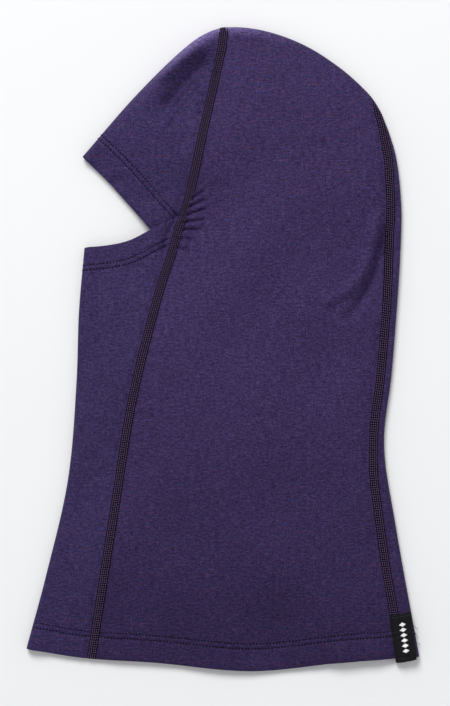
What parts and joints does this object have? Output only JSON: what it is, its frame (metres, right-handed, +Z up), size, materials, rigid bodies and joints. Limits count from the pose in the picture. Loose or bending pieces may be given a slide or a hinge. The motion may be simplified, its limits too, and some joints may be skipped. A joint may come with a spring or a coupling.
{
  "type": "balaclava",
  "caption": "Knitted balaclava laid flat in profile, with a face opening, flatlock seams, coverstitched hems and a small woven tab at the neck hem.",
  "frame": {"origin": "centre of the object's box, at the surface that the laid-flat garment rests on", "axes": "+X from the face to the back of the head, +Y from the neck hem to the crown, +Z up through the two layers of cloth"},
  "size_m": [0.2446, 0.402, 0.0187],
  "materials": {
    "knit": "matte fine knit",
    "seam_thread": "matte thread",
    "hem_thread": "matte thread",
    "woven_label": "satin woven tab"
  },
  "bodies": {
    "root": {"left_side_panel": "knit", "right_side_panel": "knit", "brow_panel": "knit", "chin_panel": "knit", "arch_seam_cover_thread": "seam_thread", "arch_seam_looper_thread": "seam_thread", "arch_seam_needle_thread_1": "seam_thread", "arch_seam_needle_thread_2": "seam_thread", "arch_seam_needle_thread_3": "seam_thread", "arch_seam_needle_thread_4": "seam_thread", "back_seam_cover_thread": "seam_thread", "back_seam_looper_thread": "seam_thread", "back_seam_needle_thread_1": "seam_thread", "back_seam_needle_thread_2": "seam_thread", "back_seam_needle_thread_3": "seam_thread", "back_seam_needle_thread_4": "seam_thread", "brow_hem_needle_thread_1": "hem_thread", "brow_hem_needle_thread_2": "hem_thread", "brow_hem_looper_thread": "hem_thread", "chin_hem_needle_thread_1": "hem_thread", "chin_hem_needle_thread_2": "hem_thread", "chin_hem_looper_thread": "hem_thread", "neck_hem_needle_thread_1": "hem_thread", "neck_hem_needle_thread_2": "hem_thread", "neck_hem_looper_thread": "hem_thread", "hem_label": "woven_label", "label_stitch": "hem_thread", "thread_tail_1": "hem_thread", "thread_tail_2": "hem_thread", "thread_tail_3": "hem_thread"}
  },
  "joints": []
}
